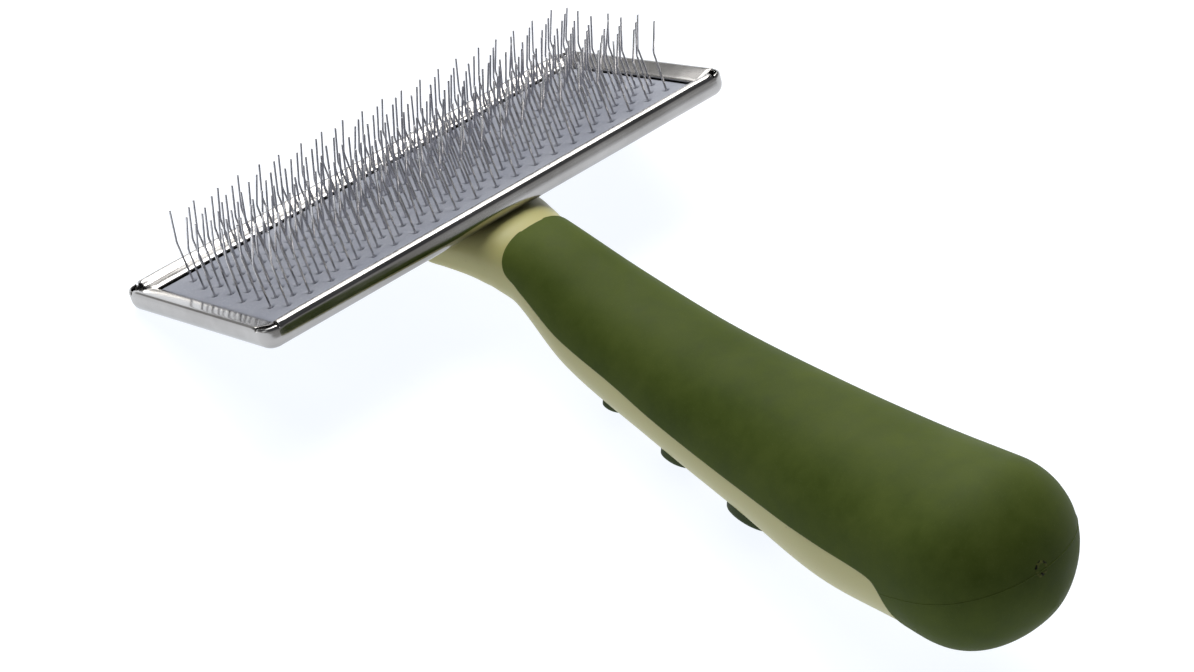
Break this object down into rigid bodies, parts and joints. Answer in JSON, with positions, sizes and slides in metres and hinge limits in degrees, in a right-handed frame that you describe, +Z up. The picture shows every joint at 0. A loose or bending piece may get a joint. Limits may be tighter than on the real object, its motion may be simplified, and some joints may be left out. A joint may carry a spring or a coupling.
{
  "type": "slicker brush",
  "caption": "Pet slicker brush with bent wire pins in a chromed rectangular pan, on a two-tone moulded handle with a soft rubber skin.",
  "frame": {"origin": "middle of the brush's plan outline, on the table it lies on", "axes": "+Y from the butt of the handle to the head, +X along the head, +Z up from the table through the pin tips"},
  "size_m": [0.119, 0.1832, 0.0418],
  "materials": {
    "chromed_sheet": "bright chrome plate on rolled sheet steel",
    "pin_wire": "drawn stainless spring wire",
    "rivet_steel": "plain zinc-plated steel",
    "pad_rubber": "smooth satin blue-grey rubber",
    "foam": "fine open-cell foam",
    "fibre_board": "pressed fibre board",
    "core_plastic": "satin moulded polypropylene, sage green",
    "grip_rubber": "satin thermoplastic rubber, olive green"
  },
  "bodies": {
    "brush": {"head_pan": "chromed_sheet", "backing_board": "fibre_board", "foam_cushion": "foam", "rubber_pad": "pad_rubber", "head_rivets": "rivet_steel", "rivet_washers": "rivet_steel", "handle_core": "core_plastic", "grip_skin": "grip_rubber", "thumb_dots": "grip_rubber"},
    "wires_01": {"pin_row_01": "pin_wire"},
    "wires_02": {"pin_row_02": "pin_wire"},
    "wires_03": {"pin_row_03": "pin_wire"},
    "wires_04": {"pin_row_04": "pin_wire"},
    "wires_05": {"pin_row_05": "pin_wire"},
    "wires_06": {"pin_row_06": "pin_wire"},
    "wires_07": {"pin_row_07": "pin_wire"},
    "wires_08": {"pin_row_08": "pin_wire"},
    "wires_09": {"pin_row_09": "pin_wire"},
    "wires_10": {"pin_row_10": "pin_wire"},
    "wires_11": {"pin_row_11": "pin_wire"},
    "wires_12": {"pin_row_12": "pin_wire"}
  },
  "joints": [
    {"name": "wires_01_flex", "type": "hinge", "parent": "brush", "child": "wires_01", "pos_m": [0, 0.05249, 0.01978], "axis": [1, 0, 0], "range_deg": [-7, 7], "stiffness_Nm_per_rad": 0.05},
    {"name": "wires_02_flex", "type": "hinge", "parent": "brush", "child": "wires_02", "pos_m": [0, 0.05518, 0.01846], "axis": [1, 0, 0], "range_deg": [-7, 7], "stiffness_Nm_per_rad": 0.05},
    {"name": "wires_03_flex", "type": "hinge", "parent": "brush", "child": "wires_03", "pos_m": [0, 0.05788, 0.01715], "axis": [1, 0, 0], "range_deg": [-7, 7], "stiffness_Nm_per_rad": 0.05},
    {"name": "wires_04_flex", "type": "hinge", "parent": "brush", "child": "wires_04", "pos_m": [0, 0.06058, 0.01583], "axis": [1, 0, 0], "range_deg": [-7, 7], "stiffness_Nm_per_rad": 0.05},
    {"name": "wires_05_flex", "type": "hinge", "parent": "brush", "child": "wires_05", "pos_m": [0, 0.06327, 0.01452], "axis": [1, 0, 0], "range_deg": [-7, 7], "stiffness_Nm_per_rad": 0.05},
    {"name": "wires_06_flex", "type": "hinge", "parent": "brush", "child": "wires_06", "pos_m": [0, 0.06597, 0.0132], "axis": [1, 0, 0], "range_deg": [-7, 7], "stiffness_Nm_per_rad": 0.05},
    {"name": "wires_07_flex", "type": "hinge", "parent": "brush", "child": "wires_07", "pos_m": [0, 0.06867, 0.01189], "axis": [1, 0, 0], "range_deg": [-7, 7], "stiffness_Nm_per_rad": 0.05},
    {"name": "wires_08_flex", "type": "hinge", "parent": "brush", "child": "wires_08", "pos_m": [0, 0.07136, 0.01057], "axis": [1, 0, 0], "range_deg": [-7, 7], "stiffness_Nm_per_rad": 0.05},
    {"name": "wires_09_flex", "type": "hinge", "parent": "brush", "child": "wires_09", "pos_m": [0, 0.07406, 0.00926], "axis": [1, 0, 0], "range_deg": [-7, 7], "stiffness_Nm_per_rad": 0.05},
    {"name": "wires_10_flex", "type": "hinge", "parent": "brush", "child": "wires_10", "pos_m": [0, 0.07676, 0.00794], "axis": [1, 0, 0], "range_deg": [-7, 7], "stiffness_Nm_per_rad": 0.05},
    {"name": "wires_11_flex", "type": "hinge", "parent": "brush", "child": "wires_11", "pos_m": [0, 0.07945, 0.00662], "axis": [1, 0, 0], "range_deg": [-7, 7], "stiffness_Nm_per_rad": 0.05},
    {"name": "wires_12_flex", "type": "hinge", "parent": "brush", "child": "wires_12", "pos_m": [0, 0.08215, 0.00531], "axis": [1, 0, 0], "range_deg": [-7, 7], "stiffness_Nm_per_rad": 0.05}
  ]
}
